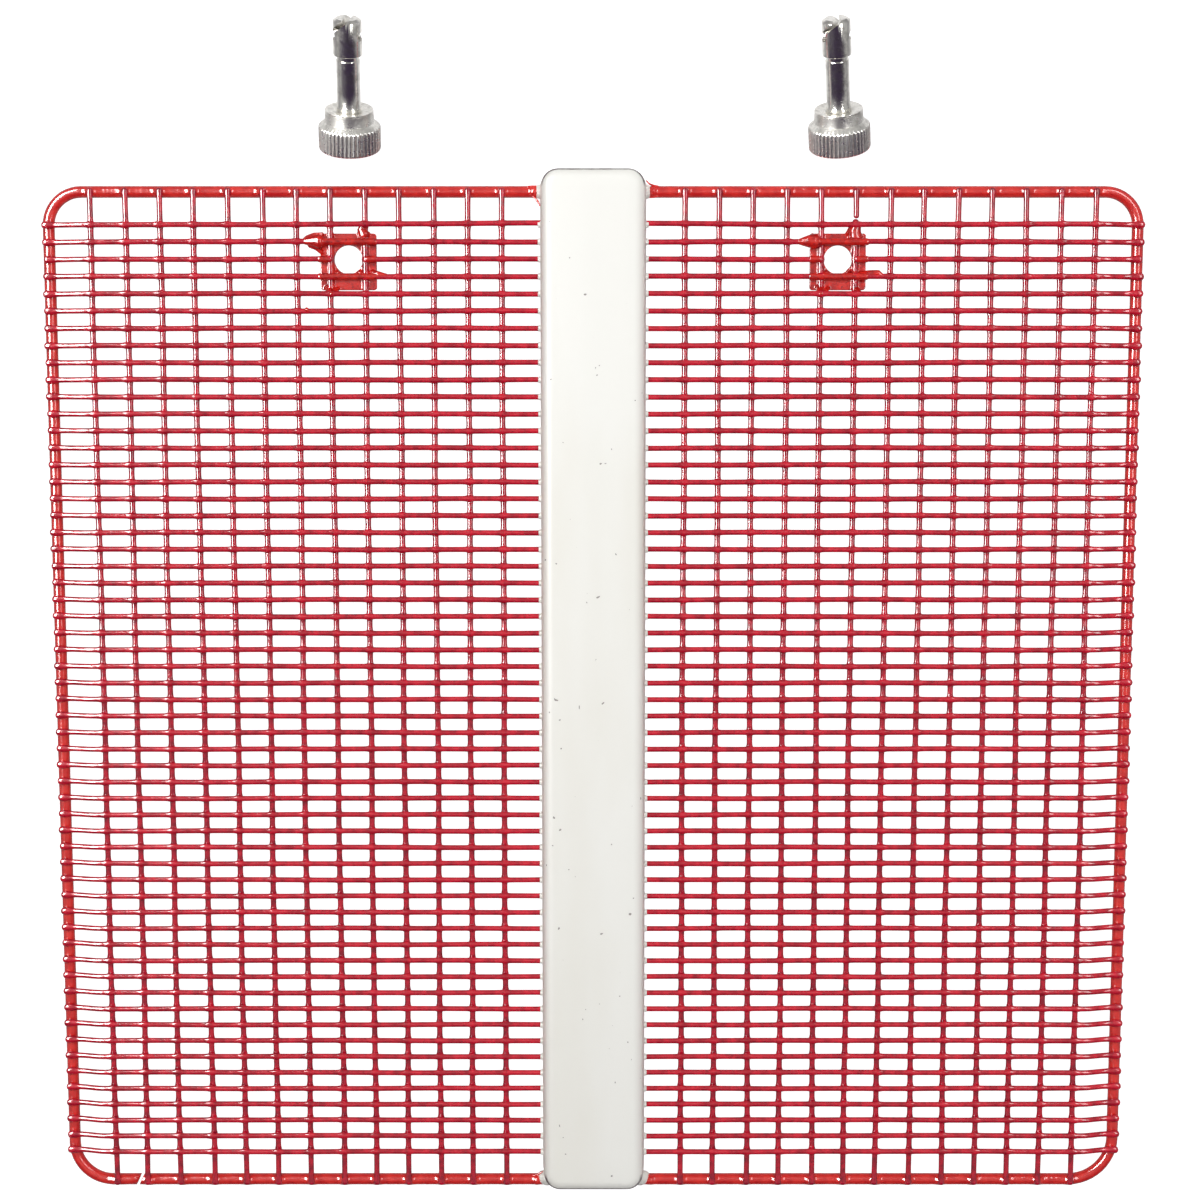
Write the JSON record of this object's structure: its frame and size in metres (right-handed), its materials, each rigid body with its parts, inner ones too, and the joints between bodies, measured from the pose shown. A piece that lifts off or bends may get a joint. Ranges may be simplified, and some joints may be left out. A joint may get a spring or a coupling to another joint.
{
  "type": "wire mesh grille",
  "caption": "Rectangular red welded wire grille with a rounded rod frame, a cream centre channel, two holed tabs and two knurled quarter turn fasteners beyond its top edge.",
  "frame": {"origin": "middle of the whole footprint, on the surface that the grille lies on", "axes": "+Z out of the front of the grille, +Y towards its top edge, +X to the right seen from the front"},
  "size_m": [0.4134, 0.4464, 0.0359],
  "materials": {
    "red_enamel": "gloss",
    "cream_enamel": "gloss",
    "nickel_plate": "polished"
  },
  "bodies": {
    "grille": {"frame_rod": "red_enamel", "upright_wire_left_01": "red_enamel", "upright_wire_left_02": "red_enamel", "upright_wire_left_03": "red_enamel", "upright_wire_left_04": "red_enamel", "upright_wire_left_05": "red_enamel", "upright_wire_left_06": "red_enamel", "upright_wire_left_07": "red_enamel", "upright_wire_left_08": "red_enamel", "upright_wire_left_09": "red_enamel", "upright_wire_left_10": "red_enamel", "upright_wire_left_11": "red_enamel", "upright_wire_left_12": "red_enamel", "upright_wire_left_13": "red_enamel", "upright_wire_right_01": "red_enamel", "upright_wire_right_02": "red_enamel", "upright_wire_right_03": "red_enamel", "upright_wire_right_04": "red_enamel", "upright_wire_right_05": "red_enamel", "upright_wire_right_06": "red_enamel", "upright_wire_right_07": "red_enamel", "upright_wire_right_08": "red_enamel", "upright_wire_right_09": "red_enamel", "upright_wire_right_10": "red_enamel", "upright_wire_right_11": "red_enamel", "upright_wire_right_12": "red_enamel", "upright_wire_right_13": "red_enamel", "upright_stub": "red_enamel", "cross_wires_01": "red_enamel", "cross_wires_02": "red_enamel", "cross_wires_03": "red_enamel", "cross_wires_04": "red_enamel", "cross_wires_05": "red_enamel", "cross_wires_06": "red_enamel", "cross_wires_07": "red_enamel", "cut_wire_left": "red_enamel", "cut_wire_middle": "red_enamel", "cut_wire_right": "red_enamel", "left_tab": "red_enamel", "right_tab": "red_enamel", "centre_channel": "cream_enamel"},
    "left_fastener": {"left_fastener_stud": "nickel_plate", "left_fastener_knob": "nickel_plate"},
    "right_fastener": {"right_fastener_stud": "nickel_plate", "right_fastener_knob": "nickel_plate"}
  },
  "joints": [
    {"name": "left_fastener_turn", "type": "hinge", "parent": "grille", "child": "left_fastener", "pos_m": [-0.09, 0.1781, 0.00987], "axis": [0.0452, 0.8922, 0.4493], "range_deg": [0, 90]},
    {"name": "right_fastener_turn", "type": "hinge", "parent": "grille", "child": "right_fastener", "pos_m": [0.0913, 0.17825, 0.00987], "axis": [-0.0934, 0.8885, 0.4493], "range_deg": [0, 90]}
  ]
}
